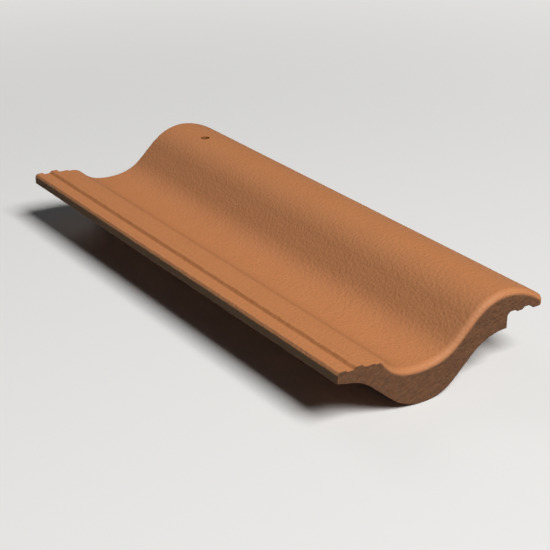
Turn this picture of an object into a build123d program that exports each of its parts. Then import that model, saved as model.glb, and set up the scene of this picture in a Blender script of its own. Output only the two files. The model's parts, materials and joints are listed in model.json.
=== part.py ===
from build123d import *
from math import asin, cos, degrees, radians, sin, tan
import os

# Interlocking clay roof tile, one fired piece, in millimetres.
# The section is drawn across the tile: x from the left edge to the right, and
# up from the foot of the left edge. The tile runs along +Y, from its rounded
# nose at the tail to the cut head. At the end it is moved so that the origin is
# at the middle of its footprint, on the level that it lies on.

# Overall sizes
tile_length = 420.0
cover_width = 150.0
side_lap = 34.6
lap_clearance = 0.6
body_thickness = 12.0

# Underlock along the left edge, heights above the foot of the edge
edge_height = 6.3
rib_height = 8.3
groove_height = 6.7
ledge_height = 5.9
shelf_height = 5.0
shelf_corner_height = 4.2
edge_chamfer = 1.6
first_rib_width = 5.3
rib_flank_width = 1.5
groove_width = 5.0
groove_flank_width = 2.1
second_rib_width = 4.8
ledge_slope_width = 2.2
ledge_width = 7.1
shelf_step_width = 0.6
shelf_width = 9.5
shelf_corner_setback = 4.0
shelf_corner_radius = 11.0

# Overlock tip along the right edge
tip_rib_width = 10.4
tip_flank_width = 3.9
tip_radius = 6.0

# Pan and roll, the S of the section, angles in degrees from the level
pan_entry_angle = 53.0
pan_entry_radius = 32.3
pan_floor_angle = 10.0
pan_exit_radius = 35.0
flank_angle = 43.0
flank_length = 19.8
roll_radius = 43.2
roll_shoulder_angle = 10.0
roll_shoulder_radius = 67.2
crest_inset = 3.1

# Underside between the left edge and the pan
body_edge_angle = 8.0
body_side_angle = 30.0
body_bend_radius = 30.0

# Nose at the tail
nose_drop = 29.0
nose_length = 26.0
nose_back_draft = 6.0
nose_edge_angle = 14.0
nose_side_angle = 40.0
nose_bend_inset = 22.0
nose_bend_radius = 36.5
nose_rounding = 5.2

# Weather bar behind the nose
bar_place = 62.0
bar_width = 7.0
bar_drop = 7.0
bar_inset = 26.0

# Nibs that hang over the batten
nib_places = (55.0, 112.0)
nib_width = 24.0
nib_setback = 25.0
nib_depth = 13.0
nib_back_draft = 5.0

# Nail hole through the roll
nail_hole_diameter = 7.5
nail_hole_setback = 43.5
nail_hole_inset = 1.8

# Worked out from the sizes above
tile_width = cover_width + side_lap
crest_x = cover_width - crest_inset
lap_wall_x = cover_width - lap_clearance
lap_ceiling = rib_height + lap_clearance


def rise(angle):
    """Height gained over a level run of one, at an angle in degrees."""
    return tan(radians(angle))


def heading(angle):
    """Direction at an angle in degrees from the x axis."""
    return Vector(cos(radians(angle)), sin(radians(angle)))


def crossing(first, first_angle, second, second_angle):
    """Where two straight lines cross, each given by a point and its angle."""
    gap = second.Y - first.Y - rise(second_angle) * (second.X - first.X)
    run = gap / (rise(first_angle) - rise(second_angle))
    return Vector(first.X + run, first.Y + run * rise(first_angle))


def underlock_points():
    """Top outline of the underlock, from the foot of the edge to the pan."""
    steps = (
        (0, 0),
        (0, edge_height),
        (edge_chamfer, rib_height),
        (first_rib_width, rib_height),
        (rib_flank_width, groove_height),
        (groove_width, groove_height),
        (groove_flank_width, rib_height),
        (second_rib_width, rib_height),
        (rib_flank_width, groove_height),
        (ledge_slope_width, ledge_height),
        (ledge_width, ledge_height),
        (shelf_step_width, shelf_height),
        (shelf_width, shelf_corner_height),
    )
    points = []
    x = 0
    for width, height in steps:
        x += width
        points.append(Vector(x, height))
    return points


def overlock_points():
    """Underside of the overlock from the tip inwards.

    The tip rests on the next tile's ledge, and the rest is clear of its ribs.
    """
    tip_bottom = ledge_height
    tip_rib_x = tile_width - tip_rib_width
    points = [Vector(tile_width, tip_bottom), Vector(tip_rib_x, tip_bottom)]
    points.append(Vector(tip_rib_x - tip_flank_width, lap_ceiling))
    first_rib_and_groove = underlock_points()[2:7]
    for point in reversed(first_rib_and_groove):
        points.append(point + Vector(cover_width, lap_clearance))
    return points


def pan_floor_radius():
    """Radius of the pan's floor that brings the crest to its place."""
    floor = sin(radians(pan_floor_angle))
    flank = heading(flank_angle)
    entry_run = pan_entry_radius * (sin(radians(pan_entry_angle)) - floor)
    exit_run = pan_exit_radius * (flank.Y - floor)
    roll_run = flank_length * flank.X + roll_radius * flank.Y
    floor_run = crest_x - underlock_points()[-1].X - entry_run - exit_run - roll_run
    return floor_run / (2 * floor)


def wave(start, start_angle, offset, end_angle):
    """Pan, flank and roll as a chain of tangent curves.

    The offset is how far the chain lies under the top outline, to which it is parallel.
    """
    floor_radius = pan_floor_radius() + offset
    entry = JernArc(start, heading(-start_angle), pan_entry_radius + offset, start_angle - pan_floor_angle)
    floor = JernArc(entry @ 1, entry % 1, floor_radius, 2 * pan_floor_angle)
    leave = JernArc(floor @ 1, floor % 1, pan_exit_radius + offset, flank_angle - pan_floor_angle)
    flank = PolarLine(leave @ 1, flank_length, flank_angle)
    crest = JernArc(flank @ 1, flank % 1, roll_radius - offset, -flank_angle - end_angle)
    return [entry, floor, leave, flank, crest]


def lap_end_angle(offset):
    """Fall of a crest arc where it reaches the side lap."""
    return degrees(asin((lap_wall_x - crest_x) / (roll_radius - offset)))


def top_outline():
    """Weather face from the shelf's corner over the pan and the roll to the tip."""
    chain = wave(underlock_points()[-1], pan_entry_angle, 0, roll_shoulder_angle)
    start = chain[-1] @ 1
    centre_x = start.X - roll_shoulder_radius * sin(radians(roll_shoulder_angle))
    tip_angle = degrees(asin((tile_width - centre_x) / roll_shoulder_radius))
    shoulder_turn = roll_shoulder_angle - tip_angle
    shoulder = JernArc(start, heading(-roll_shoulder_angle), roll_shoulder_radius, shoulder_turn)
    return chain + [shoulder]


def body_lower_outline():
    """Underside of the body from the foot of the left edge to the side lap."""
    corner = underlock_points()[-1]
    centre = corner + heading(90 - pan_entry_angle) * pan_entry_radius
    start = centre + heading(-90 - body_side_angle) * (pan_entry_radius + body_thickness)
    chain = wave(start, body_side_angle, body_thickness, lap_end_angle(body_thickness))
    foot = Vector(0, 0)
    bend = crossing(foot, -body_edge_angle, start, -body_side_angle)
    return [FilletPolyline(foot, bend, start, radius=body_bend_radius)] + chain


def nose_lower_outline():
    """Underside of the nose from the foot of the left edge to the side lap."""
    top = wave(underlock_points()[-1], pan_entry_angle, 0, lap_end_angle(0))
    lowered = [Pos(0, -nose_drop) * curve for curve in top[2:]]
    start = lowered[0] @ 0
    foot = Vector(0, 0)
    bend = Vector(nose_bend_inset, -nose_bend_inset * rise(nose_edge_angle))
    toe_corner = crossing(bend, -nose_side_angle, start, pan_floor_angle)
    toe_turn = nose_side_angle + pan_floor_angle
    toe_radius = (start - toe_corner).length / rise(toe_turn / 2)
    toe = JernArc(start, heading(180 + pan_floor_angle), toe_radius, -toe_turn)
    return [FilletPolyline(foot, bend, toe @ 1, radius=nose_bend_radius), toe] + lowered


def resting_height():
    """The lowest level of the nose, which the nibs reach too."""
    return (Curve() + nose_lower_outline()).bounding_box().min.Y


def section(lower_outline, lap_root):
    """Section of the tile, upright across its length, with a given underside."""
    top = top_outline()
    left = Polyline(*underlock_points())
    right = Polyline(top[-1] @ 1, *overlock_points(), *lap_root, lower_outline[-1] @ 1)
    face = make_face(Curve() + [left, *top, right, *lower_outline])
    tip = face.vertices().sort_by_distance(top[-1] @ 1)[0]
    return Plane.XZ * fillet(tip, tip_radius)


def along_tile(face, run):
    """Extrude an upright face from the tail towards the head."""
    return extrude(face, amount=run, dir=(0, 1, 0))


def body(run):
    """Plain length of tile, without nose, bar, nibs and hole."""
    return along_tile(section(body_lower_outline(), []), run)


def nose():
    """Block under the tail, its back face sloped to leave the mould."""
    lap_wall_top = Vector(lap_wall_x, edge_height + lap_clearance)
    block = along_tile(section(nose_lower_outline(), [lap_wall_top]), tile_length)
    back_normal = (0, 1, -rise(nose_back_draft))
    back = Plane(origin=(0, nose_length, resting_height()), x_dir=(1, 0, 0), z_dir=back_normal)
    return split(block, bisect_by=back, keep=Keep.BOTTOM)


def space_under_body(inset):
    """All that lies under the body from an inset to the side lap."""
    lower = body_lower_outline()
    end = lower[-1] @ 1
    depth = resting_height()
    rim = Polyline(end, (end.X, depth), (0, depth), (0, 0))
    space = along_tile(Plane.XZ * make_face(Curve() + [*lower, rim]), tile_length)
    return split(space, bisect_by=Plane.YZ.offset(inset), keep=Keep.TOP)


def weather_bar():
    """Rib across the underside that holds back driven rain."""
    lowered = Pos(0, bar_place, -bar_drop) * body(bar_width)
    return lowered & space_under_body(bar_inset)


def nib(place):
    """Lug under the head, upright towards the batten and drafted behind."""
    foot = resting_height()
    front = tile_length - nib_setback
    back = front + nib_depth
    top = rib_height
    top_back = back + (top - foot) * rise(nib_back_draft)
    side = Polyline((front, foot), (back, foot), (top_back, top), (front, top), close=True)
    lug = extrude(Plane.YZ * make_face(side), amount=nib_width / 2, both=True)
    return Pos(place, 0, 0) * lug & space_under_body(0)


def round_front(tile):
    """Round the top front edge from the shelf to the tip, and down the tip's side."""
    outline = Plane.XZ * (Curve() + top_outline())
    front_edges = tile.faces().sort_by(Axis.Y)[0].edges()
    top_edges = [edge for edge in front_edges if outline.distance_to(edge @ 0.5) < lap_clearance / 10]
    return fillet(top_edges, nose_rounding)


def shelf_corner_waste():
    """What is taken off to round the corner between the shelf and the pan."""
    shelf_start, corner = underlock_points()[-2:]
    shelf_end = corner + (shelf_start - corner).normalized() * shelf_corner_setback
    entry_turn = degrees(shelf_corner_setback / pan_entry_radius)
    pan_start = JernArc(corner, heading(-pan_entry_angle), pan_entry_radius, entry_turn) @ 1
    curve = RadiusArc(shelf_end, pan_start, shelf_corner_radius)
    top = 2 * rib_height
    over = Polyline(pan_start, (pan_start.X, top), (shelf_end.X, top), shelf_end)
    return along_tile(Plane.XZ * make_face(Curve() + [curve, over]), tile_length)


def nail_hole():
    """Straight hole through the roll near the head."""
    place = (crest_x - nail_hole_inset, tile_length - nail_hole_setback, 0)
    return Pos(*place) * Cylinder(nail_hole_diameter / 2, tile_length)


def roof_tile():
    """The whole tile, with the origin under its middle."""
    tile = body(tile_length) + nose() + weather_bar()
    for place in nib_places:
        tile += nib(place)
    tile = round_front(tile) - shelf_corner_waste() - nail_hole()
    return Pos(-tile_width / 2, -tile_length / 2, -resting_height()) * tile


os.makedirs("parts", exist_ok=True)
export_step(roof_tile(), "parts/roof_tile.step")
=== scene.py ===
"""Interlocking clay roof tile on a plain studio floor, laid out as a Blender add-on.

The tile starts from its CAD solid. Its arrises are softened and nicked, its faces
are cut into a grid that can carry relief, and its clay is a procedural material.
"""

import json
from math import cos, pi, radians, sin

import bmesh
import bpy
from bpy.props import FloatProperty, FloatVectorProperty, IntProperty, PointerProperty
from mathutils import Matrix, Vector


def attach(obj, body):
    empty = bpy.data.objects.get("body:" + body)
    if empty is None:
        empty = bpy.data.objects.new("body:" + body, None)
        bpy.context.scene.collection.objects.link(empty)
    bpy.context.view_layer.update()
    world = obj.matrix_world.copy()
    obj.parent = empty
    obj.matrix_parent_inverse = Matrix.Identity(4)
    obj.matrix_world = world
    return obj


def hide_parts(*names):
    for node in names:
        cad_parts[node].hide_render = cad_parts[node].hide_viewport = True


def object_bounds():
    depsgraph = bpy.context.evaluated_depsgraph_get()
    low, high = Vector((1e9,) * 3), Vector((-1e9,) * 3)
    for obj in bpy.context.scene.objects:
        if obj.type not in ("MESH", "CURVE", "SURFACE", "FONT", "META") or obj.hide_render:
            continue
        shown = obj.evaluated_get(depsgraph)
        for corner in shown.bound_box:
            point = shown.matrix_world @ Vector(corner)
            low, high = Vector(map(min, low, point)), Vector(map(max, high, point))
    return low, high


bl_info = {
    "name": "Clay Roof Tile",
    "version": (1, 0, 0),
    "blender": (4, 5, 0),
    "location": "View3D > Sidebar > Roof Tile",
    "description": "Builds an interlocking clay roof tile and the studio it lies in",
    "category": "Object",
}

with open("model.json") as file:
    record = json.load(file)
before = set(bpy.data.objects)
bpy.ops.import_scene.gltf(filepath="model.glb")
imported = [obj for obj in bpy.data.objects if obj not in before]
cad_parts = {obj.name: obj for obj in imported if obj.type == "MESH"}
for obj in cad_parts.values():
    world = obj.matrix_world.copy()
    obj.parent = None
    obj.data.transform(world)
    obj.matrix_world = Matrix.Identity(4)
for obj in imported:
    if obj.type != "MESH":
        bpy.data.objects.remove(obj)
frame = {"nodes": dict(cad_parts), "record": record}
CAD_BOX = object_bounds()
NODE = "roof_tile"
MM = 0.001

# Attributes of the tile's mesh that its material reads
ARRIS = "arris"
HOLLOW_SHADE = "painted_hollow_shade"
STEEP = "steep_side"
UNDERSIDE = "underside"

# Edges that turn by more than this are rounded
ROOT_ANGLE = radians(15.0)
ARRIS_ANGLE = radians(26.0)

# Points closer than this are one, and faces that turn by less are one
JOIN_DISTANCE = 0.002 * MM
FLAT_ANGLE = radians(0.3)

# Faces longer than this many steps are cut across and upwards
LONGEST_FACE = 1.6

# Faces whose normal runs along the tile by more than this are ends
END_NORMAL = 0.9

# Ends this near to the tile's own two are outer ones
END_TOLERANCE = 0.001 * MM

# Faces whose normal points down by more than this are underneath
UNDER_NORMAL = -0.1

# Painted shade in the nail hole, on the walls this near to its axis and this steep
HOLE_REACH = 4.5 * MM
HOLE_NORMAL = 0.7
HOLE_SHADE = 0.9

# Painted shade in the groove between these places across the tile, on flanks that lean left
GROOVE = (-84.5 * MM, -75.5 * MM)
GROOVE_LEAN = (0.1, 0.9)
GROOVE_SHADE = 0.5

# And in the pan's entry, more on what leans right by more than this
PAN_ENTRY = (-54.0 * MM, -30.0 * MM)
ENTRY_LEAN = 0.3
ENTRY_SHADE = 0.5

# Distance from the plane of an end at which the trimmed clay starts and is full
TRIMMED = (0.34 * MM, 0.02 * MM)

# Tears in the trimmed ends, which slant where the cutting wire dragged
TEAR_SIZE = 1.9 * MM
TEAR_DEPTH = 0.9 * MM
TEAR_STRETCH = 2.6
TEAR_SLANT = radians(58.0)

# Marks that the mould's plate dragged along the underside
DRAG_SIZE = 1.8 * MM
DRAG_DEPTH = 0.2 * MM
DRAG_STRETCH = 0.03

# Pinholes in the skin
PINHOLE_SPACING = 9 * MM
PINHOLE_DEPTH = 0.12 * MM
PINHOLE_REACH = 0.06

# Tint of the skin's darker specks, and of the painted shadow in the tears' hollows
SPECK_TINT = (0.86, 0.85, 0.84)
TEAR_SHADOW_TINT = 0.35

# Noise at which that painted shadow of a tear starts and is full, and how much of it shows
TEAR_BETWEEN = (0.36, 0.64)
TEAR_SHADOW_SHARE = 0.42

# How much bare clay shows on the underside between its scrapes
BARE_BELOW = 0.25

# How far roughness strays, and what trimmed ends and steep sides add to it
GLOSS_SPREAD = 0.14
RAW_DULLNESS = 0.25
STEEP_DULLNESS = 0.2

# Noise at which a nick starts and is full, and how much more nicks lower both
NICK_START, NICK_START_DROP = 0.62, 0.4
NICK_FULL, NICK_FULL_DROP = 0.72, 0.3

# Where the floor round the tile starts and ends to fade into the backdrop
FLOOR_FADE = (0.35, 1.3)

# Share of the floor's colour that lights the tile
FLOOR_BOUNCE = 0.25

# Place and directions of the photograph's camera, in the tile's frame
CAMERA_PLACE = Vector((-0.573676, -0.803497, 0.474721))
CAMERA_RIGHT = Vector((0.812411, -0.582944, 0.012820))
CAMERA_UP = Vector((0.239484, 0.353639, 0.904205))


def length(name, description, default, largest):
    """A size in metres that the sidebar shows."""
    return FloatProperty(
        name=name,
        description=description,
        default=default,
        min=0.0,
        max=largest,
        subtype="DISTANCE",
        unit="LENGTH",
        precision=5,
    )


def share(name, description, default):
    """A factor from none to all."""
    return FloatProperty(
        name=name, description=description, default=default, min=0.0, max=1.0, subtype="FACTOR"
    )


def turn(name, description, default):
    """An angle, written in degrees."""
    return FloatProperty(
        name=name, description=description, default=radians(default), subtype="ANGLE"
    )


def colour(name, description, default):
    """A linear colour."""
    return FloatVectorProperty(
        name=name,
        description=description,
        default=default,
        size=3,
        min=0.0,
        max=1.0,
        subtype="COLOR",
    )


class RoofTileShape(bpy.types.PropertyGroup):
    """Sizes of what the kiln and handling add to the plain shape."""

    arris_radius: length("Arris Radius", "Softness of the tile's outer edges", 0.4 * MM, 0.002)
    root_radius: length("Root Radius", "Softness of the tile's inner edges", 0.6 * MM, 0.002)
    mesh_step: length("Mesh Step", "Largest distance between two cuts of the mesh", 2.5 * MM, 0.02)
    warp_depth: length("Warp Depth", "How far the faces stray from true", 0.12 * MM, 0.002)
    warp_size: length("Warp Size", "Distance between two swells", 34 * MM, 0.5)
    nick_depth: length("Nick Depth", "Depth of the nicks in the arrises", 0.3 * MM, 0.002)
    nick_size: length("Nick Size", "Length of a nick along an arris", 6 * MM, 0.1)
    nick_share: share("Nick Share", "How much of the arrises is nicked", 0.06)
    seed: IntProperty(
        name="Seed", description="Picks another pattern of swells and nicks", default=7
    )


class RoofTileClay(bpy.types.PropertyGroup):
    """Colours and grain of the fired clay."""

    clay: colour("Clay", "Weather face", (0.55, 0.212, 0.075))
    flushed: colour("Flushed Clay", "Patches that the fire turned redder", (0.53, 0.198, 0.069))
    # Lighter clay of dust specks and worn arrises; on the arrises it is partly a painted highlight
    rubbed_and_highlit: colour("Rubbed and Highlit Clay", "Worn arrises, partly a painted highlight", (0.66, 0.28, 0.115))
    # Painted shade: faces that lean steeply left or right are darkened as if less light reached
    # them
    steep_shade: colour("Steep Shade", "Painted shade on steep sides", (0.222, 0.131, 0.068))
    # Painted shade in the groove, the nail hole and the pan's entry
    hollow_shade: colour("Hollow Shade", "Painted shade in the groove, nail hole and pan entry", (0.31, 0.105, 0.02))
    raw: colour("Raw Clay", "Trimmed ends, without the fine skin", (0.192, 0.078, 0.030))
    ashy: colour("Ashy Clay", "Duller patches of the trimmed ends", (0.165, 0.078, 0.034))
    patch_size: length("Patch Size", "Distance between two flushed patches", 24 * MM, 0.5)
    grain_size: length("Grain Size", "Distance between two bumps of the skin", 2.3 * MM, 0.05)
    grain_height: length("Grain Height", "Height of the bumps of the skin", 0.54 * MM, 0.002)
    sand_size: length("Sand Size", "Distance between two grains of sand", 0.8 * MM, 0.01)
    sand_height: length("Sand Height", "Height of the grains of sand", 0.06 * MM, 0.002)
    roughness: share("Roughness", "Of the weather face", 0.64)
    specular: share("Specular", "Strength of the clay's faint sheen", 0.5)


class RoofTileStage(bpy.types.PropertyGroup):
    """Floor, lamps and camera."""

    floor_colour: colour("Floor", "Colour of the floor", (0.80, 0.79, 0.77))
    floor_size: length("Floor Size", "Side of the floor", 12.0, 100.0)
    key_power: FloatProperty(
        name="Key Power", description="Watts of the large lamp overhead", default=290.0, min=0.0
    )
    key_size: length("Key Size", "Side of the large lamp", 2.0, 10.0)
    key_distance: length("Key Distance", "From the tile to the large lamp", 5.0, 20.0)
    key_azimuth: turn("Key Azimuth", "Of the large lamp, from the tail to the right", 3.0)
    key_elevation: turn("Key Elevation", "Of the large lamp above the floor", 52.0)
    back_power: FloatProperty(
        name="Back Power", description="Watts of the lamp behind the head", default=16.0, min=0.0
    )
    back_elevation: turn("Back Elevation", "Of the lamp behind the head", 35.0)
    fill_strength: FloatProperty(
        name="Fill", description="Strength of the light from all round", default=0.024, min=0.0
    )
    fill_colour: colour("Fill Colour", "Of the light from all round", (0.7, 0.85, 1.0))
    focal_length: FloatProperty(
        name="Focal Length",
        description="Of the camera, on a 36 mm sensor",
        default=90.305,
        min=1.0,
        unit="CAMERA",
    )


class Wire:
    """A socket of a node tree, with the arithmetic that its maths nodes do."""

    def __init__(self, tree, socket):
        self.tree = tree
        self.socket = socket

    def _maths(self, operation, *values):
        return self.tree.node("ShaderNodeMath", {"operation": operation}, *values)

    def __add__(self, other):
        return self._maths("ADD", self, other)

    __radd__ = __add__

    def __sub__(self, other):
        return self._maths("SUBTRACT", self, other)

    def __rsub__(self, other):
        return self._maths("SUBTRACT", other, self)

    def __mul__(self, other):
        return self._maths("MULTIPLY", self, other)

    __rmul__ = __mul__

    def __rtruediv__(self, other):
        return self._maths("DIVIDE", other, self)

    def __abs__(self):
        return self._maths("ABSOLUTE", self)

    def highest(self, other):
        return self._maths("MAXIMUM", self, other)

    def spread(self, low, high):
        """0 up to low, 1 from high on, and soft between them."""
        settings = {"interpolation_type": "SMOOTHSTEP"}
        return self.tree.node("ShaderNodeMapRange", settings, self, low, high)


class NodeTree:
    """Adds nodes to a shader or geometry tree."""

    def __init__(self, nodes):
        self.nodes = nodes

    def node(self, kind, settings=None, *values, output=None, **named):
        """One node. Settings come first, then its sockets by order or by name."""
        made = self.nodes.nodes.new(kind)
        for key, value in (settings or {}).items():
            setattr(made, key, value)
        open_sockets = [s for s in made.inputs if s.enabled]
        for socket, value in zip(open_sockets, values):
            self._set(socket, value)
        for name, value in named.items():
            wanted = name.replace("_", " ").lower()
            socket = next(s for s in open_sockets if s.name.lower() == wanted)
            self._set(socket, value)
        shown = {s.name: s for s in made.outputs if s.enabled}
        if not shown:
            return None
        return Wire(self, shown[output] if output else next(iter(shown.values())))

    def _set(self, socket, value):
        if isinstance(value, Wire):
            self.nodes.links.new(value.socket, socket)
        else:
            socket.default_value = value

    def attribute(self, name):
        """A number of the mesh's own."""
        return self.node("ShaderNodeAttribute", {"attribute_name": name}, output="Fac")

    def blend(self, factor, first, second, mode="MIX"):
        """Colour between two colours."""
        settings = {"data_type": "RGBA", "blend_type": mode}
        return self.node("ShaderNodeMix", settings, factor, rgba(first), rgba(second))


def rgba(value):
    """A colour with its alpha, or a wire as it is."""
    return value if isinstance(value, Wire) else (*value, 1.0)


class GroupInputs:
    """Named inputs of a geometry tree, and their wires."""

    def __init__(self, tree):
        self.tree = tree
        self.made = tree.nodes.nodes.new("NodeGroupInput")

    def add(self, name, kind, default=None):
        socket = self.tree.nodes.interface.new_socket(name, in_out="INPUT", socket_type=kind)
        if default is not None:
            socket.default_value = default
        return Wire(self.tree, self.made.outputs[name])


def clay_material(clay):
    """Fired clay: flushed patches, leathery grain, arrises rubbed lighter as wear and partly as a
    painted highlight, painted shade on steep sides and in hollows, and torn trimmed ends.
    """
    material = bpy.data.materials.new("fired_clay")
    material.use_nodes = True
    material.node_tree.nodes.clear()
    tree = NodeTree(material.node_tree)
    place = tree.node("ShaderNodeTexCoord", output="Object")
    arris = tree.attribute(ARRIS)
    below = tree.attribute(UNDERSIDE)
    steep = tree.attribute(STEEP)
    hollow_shade = tree.attribute(HOLLOW_SHADE)

    def noise(size, detail=2.0, rough=0.5, where=place):
        sockets = dict(vector=where, scale=1.0 / size, detail=detail, roughness=rough)
        return tree.node("ShaderNodeTexNoise", None, **sockets)

    def marks(size, detail, rough, between, strength):
        return noise(size, detail, rough).spread(*between) * strength

    # Trimmed ends and their tears
    along = tree.node("ShaderNodeSeparateXYZ", None, place, output="Y")
    raw = (CAD_BOX[1][1] - abs(along)).spread(*TRIMMED)
    slanted = tree.node(
        "ShaderNodeMapping",
        {"vector_type": "TEXTURE"},
        vector=place,
        rotation=(0.0, TEAR_SLANT, 0.0),
        scale=(1.0, 1.0, TEAR_STRETCH),
    )
    tears = noise(TEAR_SIZE, 3.0, 0.6, slanted)

    # Skin of the weather face
    patches = marks(clay.patch_size, 3.0, 0.5, between=(0.35, 0.68), strength=0.5)
    specks = marks(clay.sand_size * 1.6, 2.0, 0.6, between=(0.3, 0.7), strength=0.5)
    dust = marks(clay.sand_size * 4, 3.0, 0.6, between=(0.62, 0.74), strength=0.18)
    wear_and_highlight = marks(9 * MM, 3.0, 0.6, between=(0.4, 0.75), strength=0.6)
    skin = tree.blend(patches, clay.clay, clay.flushed)
    skin = tree.blend(specks, skin, tree.blend(1.0, skin, SPECK_TINT, "MULTIPLY"))
    skin = tree.blend(dust, skin, clay.rubbed_and_highlit)
    # Painted shade: the more steeply a face leans to either side, the darker it is
    skin = tree.blend(steep, skin, clay.steep_shade)
    # Painted shade in the groove, the nail hole and the pan's entry
    skin = tree.blend(hollow_shade, skin, clay.hollow_shade)
    # Arrises lighter where worn, and partly a painted highlight where edges catch the light
    skin = tree.blend(arris * wear_and_highlight, skin, clay.rubbed_and_highlit)

    # Clay without that skin
    ash = marks(7 * MM, 3.0, 0.6, between=(0.38, 0.62), strength=0.6)
    scrapes = marks(4 * MM, 4.0, 0.65, between=(0.34, 0.66), strength=0.25)
    shadow = tuple(c * TEAR_SHADOW_TINT for c in clay.raw)
    bare = tree.blend(ash, clay.raw, clay.ashy)
    bare = tree.blend(tears.spread(*TEAR_BETWEEN) * TEAR_SHADOW_SHARE, bare, shadow)
    skin = tree.blend(raw, skin, bare)
    skin = tree.blend(below * (BARE_BELOW + scrapes), skin, clay.raw)

    # Relief
    grain = noise(clay.grain_size, 1.0, 0.4)
    sand = noise(clay.sand_size, 1.0, 0.5)
    sockets = dict(vector=place, scale=1.0 / PINHOLE_SPACING)
    pinholes = tree.node("ShaderNodeTexVoronoi", {"feature": "F1"}, **sockets)
    lengthwise = tree.node("ShaderNodeMapping", None, vector=place, scale=(1.0, DRAG_STRETCH, 1.0))
    drag = noise(DRAG_SIZE, 3.0, 0.6, lengthwise)
    height = grain * clay.grain_height + sand * clay.sand_height
    height = height + pinholes.spread(0.0, PINHOLE_REACH) * PINHOLE_DEPTH
    height = height + raw * tears * TEAR_DEPTH
    height = height + below * drag * DRAG_DEPTH
    relief = tree.node("ShaderNodeBump", None, height=height, distance=1.0, strength=1.0)

    # Gloss
    rough = clay.roughness + (noise(3.6 * MM) - 0.5) * GLOSS_SPREAD
    rough = rough + raw * RAW_DULLNESS + steep * STEEP_DULLNESS
    shader = tree.node(
        "ShaderNodeBsdfPrincipled", None, base_color=skin, roughness=rough, normal=relief
    )
    shader.socket.node.inputs["Specular IOR Level"].default_value = clay.specular
    tree.node("ShaderNodeOutputMaterial", None, surface=shader)
    return material


def joined_solid(node):
    """A copy of a CAD node's loose triangles, joined into one surface of flat faces."""
    solid = bmesh.new()
    solid.from_mesh(node.data)
    bmesh.ops.remove_doubles(solid, verts=solid.verts, dist=JOIN_DISTANCE)
    bmesh.ops.dissolve_limit(
        solid, angle_limit=FLAT_ANGLE, verts=solid.verts, edges=solid.edges
    )
    return solid


def round_edges(solid, edges, radius, segments):
    """Bevels edges, and gives the faces that this made."""
    made = bmesh.ops.bevel(
        solid,
        geom=edges,
        offset=radius,
        offset_type="OFFSET",
        segments=segments,
        profile=0.5,
        affect="EDGES",
        clamp_overlap=False,
        miter_outer="SHARP",
        miter_inner="SHARP",
    )
    return made["faces"]


def soften_edges(solid, arris_radius, root_radius):
    """Rounds the sharp inner edges, then the outer ones, which it marks."""
    arris = solid.faces.layers.float.new(ARRIS)
    roots = [edge for edge in solid.edges if edge.calc_face_angle_signed(0.0) < -ROOT_ANGLE]
    round_edges(solid, roots, root_radius, 3)
    arrises = [edge for edge in solid.edges if edge.calc_face_angle_signed(0.0) > ARRIS_ANGLE]
    for face in round_edges(solid, arrises, arris_radius, 2):
        face[arris] = 1.0


def cut_across(solid, axis, step, wanted):
    """Cuts the wanted faces by planes a step apart."""
    normal = Vector([float(i == axis) for i in range(3)])
    faces = [face for face in solid.faces if wanted(face)]
    ends = [vert.co[axis] for face in faces for vert in face.verts]
    count = int((max(ends) - min(ends)) / step) + 1
    spacing = (max(ends) - min(ends)) / count
    for i in range(1, count):
        level = min(ends) + i * spacing
        faces = [f for f in faces if max(v.co[axis] for v in f.verts) > level]
        crossed = [f for f in faces if min(v.co[axis] for v in f.verts) < level]
        edges = {edge for face in crossed for edge in face.edges}
        verts = {vert for face in crossed for vert in face.verts}
        cut = bmesh.ops.bisect_plane(
            solid,
            geom=[*crossed, *edges, *verts],
            dist=1e-7,
            plane_co=normal * level,
            plane_no=normal,
        )
        kept = {f for f in faces if f.is_valid}
        kept.update(g for g in cut["geom"] if isinstance(g, bmesh.types.BMFace))
        faces = list(kept)


def extent(face, axis):
    """How far a face reaches along an axis."""
    places = [vert.co[axis] for vert in face.verts]
    return max(places) - min(places)


def cut_grid(solid, step):
    """Cuts the faces so that none is much longer than a step."""

    def wide_end(face):
        return abs(face.normal.y) > END_NORMAL and extent(face, 0) > step

    cut_across(solid, 0, step, wide_end)
    cut_across(solid, 1, step, lambda face: True)
    for axis in (0, 2):
        cut_across(solid, axis, step, lambda face: extent(face, axis) > LONGEST_FACE * step)


def hollow_shade_share(face, hole):
    """How much painted shade a face takes: in the hole, the groove and the pan's entry."""
    centre = face.calc_center_median()
    normal = face.normal
    if (centre - hole).xy.length < HOLE_REACH and abs(normal.z) < HOLE_NORMAL:
        return HOLE_SHADE
    if GROOVE[0] < centre.x < GROOVE[1] and GROOVE_LEAN[0] < -normal.x < GROOVE_LEAN[1]:
        return GROOVE_SHADE
    if PAN_ENTRY[0] < centre.x < PAN_ENTRY[1] and normal.z > 0.0:
        return max(0.0, min(ENTRY_SHADE, normal.x - ENTRY_LEAN))
    return 0.0


def mark_faces(solid):
    """Marks the steep sides and the hollows, where the material paints shade, and the underside.
    """
    steep = solid.loops.layers.float.new(STEEP)
    hollow_shade = solid.faces.layers.float.new(HOLLOW_SHADE)
    underside = solid.faces.layers.float.new(UNDERSIDE)
    hole = Vector(frame["record"]["mounts"][0]["pos_m"])
    end = CAD_BOX[1][1] - END_TOLERANCE
    for face in solid.faces:
        normal = face.normal
        inner = abs(normal.y) > END_NORMAL and abs(face.calc_center_median().y) < end
        face[underside] = float(normal.z < UNDER_NORMAL or inner)
        face[hollow_shade] = hollow_shade_share(face, hole)
        # How steeply a face leans to either side, which the material darkens as painted shade and
        # also dulls
        if normal.z > UNDER_NORMAL:
            for loop in face.loops:
                across = min(1.0, abs(loop.vert.normal.x))
                loop[steep] = 1.0 - (1.0 - across * across) ** 0.5


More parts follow.
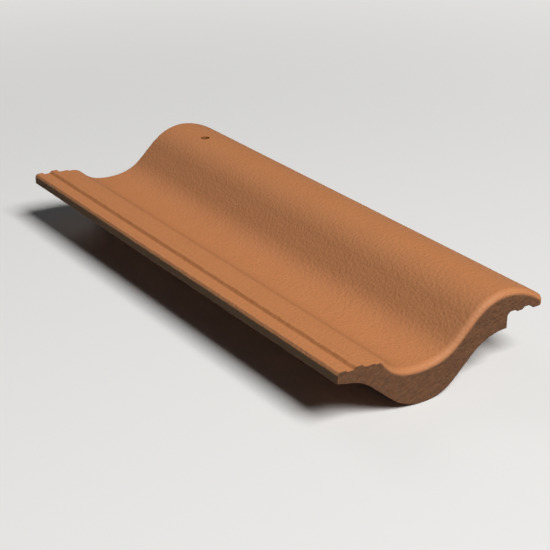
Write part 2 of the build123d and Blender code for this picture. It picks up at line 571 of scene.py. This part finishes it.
def surface_tree(shape, material):
    """Geometry tree that gives a smooth solid a fired piece's swells and nicked arrises."""
    tree = NodeTree(bpy.data.node_groups.new("fired_surface", "GeometryNodeTree"))
    inputs = GroupInputs(tree)
    solid = inputs.add("Geometry", "NodeSocketGeometry")
    warp_depth = inputs.add("Warp Depth", "NodeSocketFloat", shape.warp_depth)
    warp_size = inputs.add("Warp Size", "NodeSocketFloat", shape.warp_size)
    nick_depth = inputs.add("Nick Depth", "NodeSocketFloat", shape.nick_depth)
    nick_size = inputs.add("Nick Size", "NodeSocketFloat", shape.nick_size)
    nick_share = inputs.add("Nick Share", "NodeSocketFloat", shape.nick_share)
    seed = inputs.add("Seed", "NodeSocketInt", shape.seed)
    tree.nodes.interface.new_socket("Geometry", in_out="OUTPUT", socket_type="NodeSocketGeometry")

    place = tree.node("GeometryNodeInputPosition")
    normal = tree.node("GeometryNodeInputNormal")

    def noise(size, detail):
        settings = {"noise_dimensions": "4D"}
        sockets = dict(vector=place, w=seed, scale=1.0 / size, detail=detail)
        return tree.node("ShaderNodeTexNoise", settings, **sockets)

    swell = noise(warp_size, 1.0).spread(0.2, 0.8)
    settings = {"data_type": "FLOAT"}
    arris = tree.node("GeometryNodeInputNamedAttribute", settings, ARRIS)
    start = NICK_START - nick_share * NICK_START_DROP
    full = NICK_FULL - nick_share * NICK_FULL_DROP
    chosen = noise(nick_size, 3.0).spread(start, full)
    endwise = tree.node("ShaderNodeSeparateXYZ", None, normal, output="Y")
    depth = swell * warp_depth * (1.0 - abs(endwise)) + arris * chosen * nick_depth
    inward = tree.node("ShaderNodeVectorMath", {"operation": "SCALE"}, normal, depth * -1.0)
    moved = tree.node("GeometryNodeSetPosition", None, geometry=solid, offset=inward)
    shaded = tree.node("GeometryNodeSetShadeSmooth", None, moved)
    plain = tree.node("GeometryNodeRealizeInstances", None, shaded)
    finished = tree.node("GeometryNodeSetMaterial", None, geometry=plain, material=material)
    ending = tree.nodes.nodes.new("NodeGroupOutput")
    tree.nodes.links.new(finished.socket, ending.inputs[0])
    return tree.nodes


def set_inputs(modifier, values):
    """Sets a geometry modifier's inputs by the identifiers of their sockets."""
    for item in modifier.node_group.interface.items_tree:
        if item.in_out == "INPUT" and item.name in values:
            modifier[item.identifier] = values[item.name]


def plain_mesh(piece, name):
    """The piece's evaluated mesh, with its modifiers taken off."""
    evaluated = piece.evaluated_get(bpy.context.evaluated_depsgraph_get())
    mesh = bpy.data.meshes.new_from_object(evaluated)
    mesh.name = name
    piece.modifiers.clear()
    piece.data = mesh


class ROOFTILE_OT_tile(bpy.types.Operator):
    """Makes the fired tile in place of its plain CAD solid"""

    bl_idname = "rooftile.tile"
    bl_label = "Make Tile"

    def execute(self, context):
        shape = context.scene.rooftile_shape
        solid = joined_solid(frame["nodes"][NODE])
        soften_edges(solid, shape.arris_radius, shape.root_radius)
        cut_grid(solid, shape.mesh_step)
        mark_faces(solid)
        mesh = bpy.data.meshes.new("fired_tile")
        solid.to_mesh(mesh)
        solid.free()
        tile = bpy.data.objects.new("fired_tile", mesh)
        context.scene.collection.objects.link(tile)
        material = clay_material(context.scene.rooftile_clay)
        mesh.materials.append(material)

        surface = tile.modifiers.new("fired_surface", "NODES")
        surface.node_group = surface_tree(shape, material)
        values = {
            "Warp Depth": shape.warp_depth,
            "Warp Size": shape.warp_size,
            "Nick Depth": shape.nick_depth,
            "Nick Size": shape.nick_size,
            "Nick Share": shape.nick_share,
            "Seed": shape.seed,
        }
        set_inputs(surface, values)
        weighted = tile.modifiers.new("weighted_normals", "WEIGHTED_NORMAL")
        weighted.mode = "FACE_AREA"
        weighted.weight = 50
        plain_mesh(tile, "fired_tile")
        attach(tile, "root")
        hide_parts(NODE)
        return {"FINISHED"}


def floor_material(stage):
    """Matt floor that keeps the tile's shadow, and fades into the backdrop further out."""
    material = bpy.data.materials.new("studio_floor")
    material.use_nodes = True
    material.node_tree.nodes.clear()
    tree = NodeTree(material.node_tree)
    rays = tree.nodes.nodes.new("ShaderNodeLightPath")
    seen = Wire(tree, rays.outputs["Is Camera Ray"])
    seen = seen.highest(Wire(tree, rays.outputs["Is Glossy Ray"]))
    seen = seen.highest(Wire(tree, rays.outputs["Is Transmission Ray"]))
    dim = tuple(c * FLOOR_BOUNCE for c in stage.floor_colour)
    tone = tree.blend(seen, dim, stage.floor_colour)
    matt = tree.node("ShaderNodeBsdfDiffuse", None, color=tone)
    black = (0.0, 0.0, 0.0)
    glow = tree.node("ShaderNodeEmission", None, tree.blend(seen, black, stage.floor_colour), 1.0)
    place = tree.node("ShaderNodeTexCoord", output="Object")
    away = tree.node("ShaderNodeVectorMath", {"operation": "LENGTH"}, place).spread(*FLOOR_FADE)
    both = tree.node("ShaderNodeMixShader", None, away, matt, glow)
    tree.node("ShaderNodeOutputMaterial", None, surface=both)
    return material


def studio_world(stage):
    """Even light from all round, seen as a pale backdrop."""
    world = bpy.data.worlds.new("studio")
    world.use_nodes = True
    world.node_tree.nodes.clear()
    tree = NodeTree(world.node_tree)
    rays = tree.nodes.nodes.new("ShaderNodeLightPath")
    seen = Wire(tree, rays.outputs["Is Camera Ray"])
    lit = tree.node("ShaderNodeBackground", None, rgba(stage.fill_colour), stage.fill_strength)
    backdrop = tree.node("ShaderNodeBackground", None, rgba(stage.floor_colour), 1.0)
    both = tree.node("ShaderNodeMixShader", None, seen, lit, backdrop)
    tree.node("ShaderNodeOutputWorld", None, surface=both)
    return world


def lamp(name, power, size, distance, azimuth, elevation):
    """A square soft lamp that faces the tile."""
    level = Vector((sin(azimuth), -cos(azimuth), 0.0)) * cos(elevation)
    place = (level + Vector((0.0, 0.0, sin(elevation)))) * distance
    light = bpy.data.lights.new(name, "AREA")
    light.energy = power
    light.size = size
    made = bpy.data.objects.new(name, light)
    made.location = place
    made.rotation_euler = (-place).to_track_quat("-Z", "Y").to_euler()
    bpy.context.scene.collection.objects.link(made)


class ROOFTILE_OT_stage(bpy.types.Operator):
    """Makes the floor, the lamps and the camera"""

    bl_idname = "rooftile.stage"
    bl_label = "Make Stage"

    def execute(self, context):
        scene = context.scene
        stage = scene.rooftile_stage
        half = stage.floor_size / 2
        corners = [(-half, -half, 0), (half, -half, 0), (half, half, 0), (-half, half, 0)]
        mesh = bpy.data.meshes.new("studio_floor")
        mesh.from_pydata(corners, [], [(0, 1, 2, 3)])
        mesh.materials.append(floor_material(stage))
        floor = bpy.data.objects.new("studio_floor", mesh)
        scene.collection.objects.link(floor)

        scene.world = studio_world(stage)
        size, distance = stage.key_size, stage.key_distance
        lamp("key", stage.key_power, size, distance, stage.key_azimuth, stage.key_elevation)
        lamp("back", stage.back_power, size, distance, pi, stage.back_elevation)

        lens = bpy.data.cameras.new("photo_view")
        lens.lens = stage.focal_length
        lens.sensor_width = 36.0
        camera = bpy.data.objects.new("photo_view", lens)
        back = CAMERA_RIGHT.cross(CAMERA_UP)
        aim = Matrix((CAMERA_RIGHT, CAMERA_UP, back)).transposed().to_4x4()
        camera.matrix_world = Matrix.Translation(CAMERA_PLACE) @ aim
        scene.collection.objects.link(camera)
        scene.camera = camera
        scene.view_settings.view_transform = "Standard"
        return {"FINISHED"}


class ROOFTILE_PT_panel(bpy.types.Panel):
    """Lists what this add-on makes"""

    bl_idname = "ROOFTILE_PT_panel"
    bl_label = "Clay Roof Tile"
    bl_space_type = "VIEW_3D"
    bl_region_type = "UI"
    bl_category = "Roof Tile"

    def draw(self, context):
        layout = self.layout
        scene = context.scene
        parts = (
            (ROOFTILE_OT_tile, (scene.rooftile_shape, scene.rooftile_clay)),
            (ROOFTILE_OT_stage, (scene.rooftile_stage,)),
        )
        for operator, groups in parts:
            box = layout.box()
            for group in groups:
                for name in group.__annotations__:
                    box.prop(group, name)
            box.operator(operator.bl_idname)


CLASSES = (
    RoofTileShape,
    RoofTileClay,
    RoofTileStage,
    ROOFTILE_OT_tile,
    ROOFTILE_OT_stage,
    ROOFTILE_PT_panel,
)


def register():
    for made in CLASSES:
        bpy.utils.register_class(made)
    bpy.types.Scene.rooftile_shape = PointerProperty(type=RoofTileShape)
    bpy.types.Scene.rooftile_clay = PointerProperty(type=RoofTileClay)
    bpy.types.Scene.rooftile_stage = PointerProperty(type=RoofTileStage)


def unregister():
    del bpy.types.Scene.rooftile_stage
    del bpy.types.Scene.rooftile_clay
    del bpy.types.Scene.rooftile_shape
    for made in reversed(CLASSES):
        bpy.utils.unregister_class(made)


def main():
    """Makes the whole scene in order."""
    register()
    bpy.ops.rooftile.stage()
    bpy.ops.rooftile.tile()


if __name__ == "__main__":
    main()
